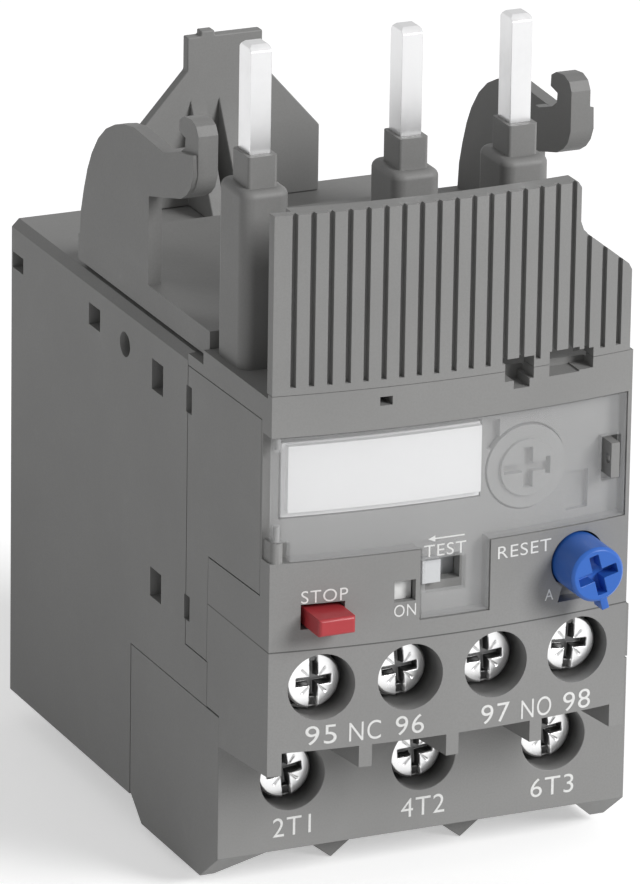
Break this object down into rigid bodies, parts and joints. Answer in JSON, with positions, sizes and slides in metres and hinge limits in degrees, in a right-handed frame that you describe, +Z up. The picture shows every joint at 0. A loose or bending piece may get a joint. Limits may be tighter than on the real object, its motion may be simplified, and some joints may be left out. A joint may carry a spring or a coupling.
{
  "type": "thermal overload relay",
  "caption": "plug-in thermal overload relay for a contactor, with blade pins, hooks, screw terminals, hinged clear window, setting dial, stop, reset and test controls",
  "frame": {"origin": "middle of the outline's footprint, on the level of the wire guide tips", "axes": "+X right seen from the front, +Y to the back, +Z up towards the plug-in pins"},
  "size_m": [0.045, 0.0724, 0.0889],
  "materials": {
    "housing_grey": "fine eroded moulding grain",
    "legend_pale": "smooth printed film",
    "tin_plated": "tin-plated copper alloy",
    "bimetal_strip": "rolled strip",
    "heater_wire": "wound ribbon",
    "zinc_steel": "zinc-plated",
    "screw_steel": "bright nickel-plated",
    "brass_rail": "stamped brass with silver contacts",
    "slide_plastic": "natural moulding",
    "flag_plastic": "smooth",
    "button_red": "smooth",
    "knob_blue": "smooth",
    "spring_steel": "drawn wire",
    "slider_white": "smooth",
    "dial_plastic": "smooth",
    "cover_clear": "clear polycarbonate"
  },
  "bodies": {
    "housing": {"rear_housing": "housing_grey", "terminal_housing": "housing_grey", "front_housing": "housing_grey", "side_cover": "housing_grey", "rib_shield": "housing_grey", "hook_bracket": "housing_grey", "latch_tower": "housing_grey", "pin_carrier": "housing_grey", "label_plate": "legend_pale", "plug_pin_1": "tin_plated", "plug_pin_2": "tin_plated", "plug_pin_3": "tin_plated", "bimetal_1": "bimetal_strip", "bimetal_2": "bimetal_strip", "bimetal_3": "bimetal_strip", "heater_1": "heater_wire", "heater_2": "heater_wire", "heater_3": "heater_wire", "main_rail_1": "tin_plated", "main_rail_2": "tin_plated", "main_rail_3": "tin_plated", "aux_rail_95": "brass_rail", "aux_rail_96": "brass_rail", "aux_rail_97": "brass_rail", "aux_rail_98": "brass_rail", "stop_spring": "spring_steel", "reset_spring": "spring_steel"},
    "push_slide": {"push_slide": "slide_plastic"},
    "hold_slide": {"hold_slide": "slide_plastic"},
    "trip_lever": {"trip_lever": "slide_plastic", "compensator": "bimetal_strip"},
    "contact_carrier": {"contact_carrier": "slide_plastic", "nc_bridge": "brass_rail", "no_bridge": "brass_rail"},
    "trip_flag": {"trip_flag": "flag_plastic"},
    "stop_button": {"stop_button": "button_red"},
    "reset_plunger": {"reset_plunger": "slide_plastic"},
    "reset_knob": {"reset_knob": "knob_blue"},
    "test_slider": {"test_slider": "slider_white"},
    "setting_dial": {"setting_dial": "dial_plastic"},
    "window_cover": {"window_cover": "cover_clear"},
    "main_screw_1": {"main_screw_1": "screw_steel"},
    "main_clamp_1": {"main_clamp_1": "zinc_steel"},
    "main_screw_2": {"main_screw_2": "screw_steel"},
    "main_clamp_2": {"main_clamp_2": "zinc_steel"},
    "main_screw_3": {"main_screw_3": "screw_steel"},
    "main_clamp_3": {"main_clamp_3": "zinc_steel"},
    "aux_screw_95": {"aux_screw_95": "screw_steel"},
    "aux_clamp_95": {"aux_clamp_95": "zinc_steel"},
    "aux_screw_96": {"aux_screw_96": "screw_steel"},
    "aux_clamp_96": {"aux_clamp_96": "zinc_steel"},
    "aux_screw_97": {"aux_screw_97": "screw_steel"},
    "aux_clamp_97": {"aux_clamp_97": "zinc_steel"},
    "aux_screw_98": {"aux_screw_98": "screw_steel"},
    "aux_clamp_98": {"aux_clamp_98": "zinc_steel"}
  },
  "joints": [
    {"name": "push_slide_travel", "type": "slide", "parent": "housing", "child": "push_slide", "axis": [1, 0, 0], "range_m": [0, 0.0025]},
    {"name": "hold_slide_travel", "type": "slide", "parent": "housing", "child": "hold_slide", "axis": [1, 0, 0], "range_m": [0, 0.0025]},
    {"name": "lever_turn", "type": "hinge", "parent": "housing", "child": "trip_lever", "pos_m": [0.0175, -0.00434, 0.039], "axis": [0, 0, -1], "range_deg": [0, 12]},
    {"name": "carrier_travel", "type": "slide", "parent": "housing", "child": "contact_carrier", "axis": [0, 1, 0], "range_m": [0, 0.0014]},
    {"name": "flag_travel", "type": "slide", "parent": "housing", "child": "trip_flag", "axis": [-1, 0, 0], "range_m": [0, 0.0024]},
    {"name": "stop_press", "type": "slide", "parent": "housing", "child": "stop_button", "axis": [0, 1, 0], "range_m": [0, 0.002], "stiffness_N_per_m": 400, "springref_m": -0.002, "deforming": ["stop_spring"]},
    {"name": "reset_press", "type": "slide", "parent": "housing", "child": "reset_plunger", "axis": [0, 1, 0], "range_m": [0, 0.002], "stiffness_N_per_m": 500, "springref_m": -0.002, "deforming": ["reset_spring"]},
    {"name": "reset_turn", "type": "hinge", "parent": "reset_plunger", "child": "reset_knob", "pos_m": [0.0104, -0.03184, 0.036], "axis": [0, 1, 0], "range_deg": [0, 90]},
    {"name": "test_slide", "type": "slide", "parent": "housing", "child": "test_slider", "axis": [1, 0, 0], "range_m": [0, 0.0021], "stiffness_N_per_m": 200, "springref_m": -0.001},
    {"name": "dial_turn", "type": "hinge", "parent": "housing", "child": "setting_dial", "pos_m": [0.00515, -0.02884, 0.0461], "axis": [0, 1, 0], "range_deg": [-120, 120]},
    {"name": "cover_hinge", "type": "hinge", "parent": "housing", "child": "window_cover", "pos_m": [-0.02165, -0.03012, 0.0462], "axis": [0, 0, -1], "range_deg": [0, 110]},
    {"name": "main_screw_turn_1", "type": "hinge", "parent": "housing", "child": "main_screw_1", "pos_m": [-0.0144, -0.01484, 0.012], "axis": [0, 1, 0], "range_deg": [0, 1800]},
    {"name": "main_clamp_travel_1", "type": "slide", "parent": "housing", "child": "main_clamp_1", "axis": [0, -1, 0], "range_m": [0, 0.0035]},
    {"name": "main_screw_turn_2", "type": "hinge", "parent": "housing", "child": "main_screw_2", "pos_m": [0, -0.01484, 0.012], "axis": [0, 1, 0], "range_deg": [0, 1800]},
    {"name": "main_clamp_travel_2", "type": "slide", "parent": "housing", "child": "main_clamp_2", "axis": [0, -1, 0], "range_m": [0, 0.0035]},
    {"name": "main_screw_turn_3", "type": "hinge", "parent": "housing", "child": "main_screw_3", "pos_m": [0.0144, -0.01484, 0.012], "axis": [0, 1, 0], "range_deg": [0, 1800]},
    {"name": "main_clamp_travel_3", "type": "slide", "parent": "housing", "child": "main_clamp_3", "axis": [0, -1, 0], "range_m": [0, 0.0035]},
    {"name": "aux_screw_turn_95", "type": "hinge", "parent": "housing", "child": "aux_screw_95", "pos_m": [-0.0171, -0.02784, 0.0265], "axis": [0, 1, 0], "range_deg": [0, 1200]},
    {"name": "aux_clamp_travel_95", "type": "slide", "parent": "housing", "child": "aux_clamp_95", "axis": [0, -1, 0], "range_m": [0, 0.002]},
    {"name": "aux_screw_turn_96", "type": "hinge", "parent": "housing", "child": "aux_screw_96", "pos_m": [-0.00785, -0.02784, 0.0265], "axis": [0, 1, 0], "range_deg": [0, 1200]},
    {"name": "aux_clamp_travel_96", "type": "slide", "parent": "housing", "child": "aux_clamp_96", "axis": [0, -1, 0], "range_m": [0, 0.002]},
    {"name": "aux_screw_turn_97", "type": "hinge", "parent": "housing", "child": "aux_screw_97", "pos_m": [0.0014, -0.02784, 0.0265], "axis": [0, 1, 0], "range_deg": [0, 1200]},
    {"name": "aux_clamp_travel_97", "type": "slide", "parent": "housing", "child": "aux_clamp_97", "axis": [0, -1, 0], "range_m": [0, 0.002]},
    {"name": "aux_screw_turn_98", "type": "hinge", "parent": "housing", "child": "aux_screw_98", "pos_m": [0.01065, -0.02784, 0.0265], "axis": [0, 1, 0], "range_deg": [0, 1200]},
    {"name": "aux_clamp_travel_98", "type": "slide", "parent": "housing", "child": "aux_clamp_98", "axis": [0, -1, 0], "range_m": [0, 0.002]}
  ],
  "couplings": [
    {"joint": "hold_slide_travel", "follows": "push_slide_travel", "ratio": 1},
    {"joint": "lever_turn", "follows": "push_slide_travel", "rad_per_m": 83.33},
    {"joint": "carrier_travel", "follows": "push_slide_travel", "ratio": 0.56},
    {"joint": "flag_travel", "follows": "push_slide_travel", "ratio": 0.96},
    {"joint": "main_screw_turn_1", "follows": "main_clamp_travel_1", "rad_per_m": 8975.9},
    {"joint": "main_screw_turn_2", "follows": "main_clamp_travel_2", "rad_per_m": 8975.9},
    {"joint": "main_screw_turn_3", "follows": "main_clamp_travel_3", "rad_per_m": 8975.9},
    {"joint": "aux_screw_turn_95", "follows": "aux_clamp_travel_95", "rad_per_m": 10472},
    {"joint": "aux_screw_turn_96", "follows": "aux_clamp_travel_96", "rad_per_m": 10472},
    {"joint": "aux_screw_turn_97", "follows": "aux_clamp_travel_97", "rad_per_m": 10472},
    {"joint": "aux_screw_turn_98", "follows": "aux_clamp_travel_98", "rad_per_m": 10472}
  ]
}
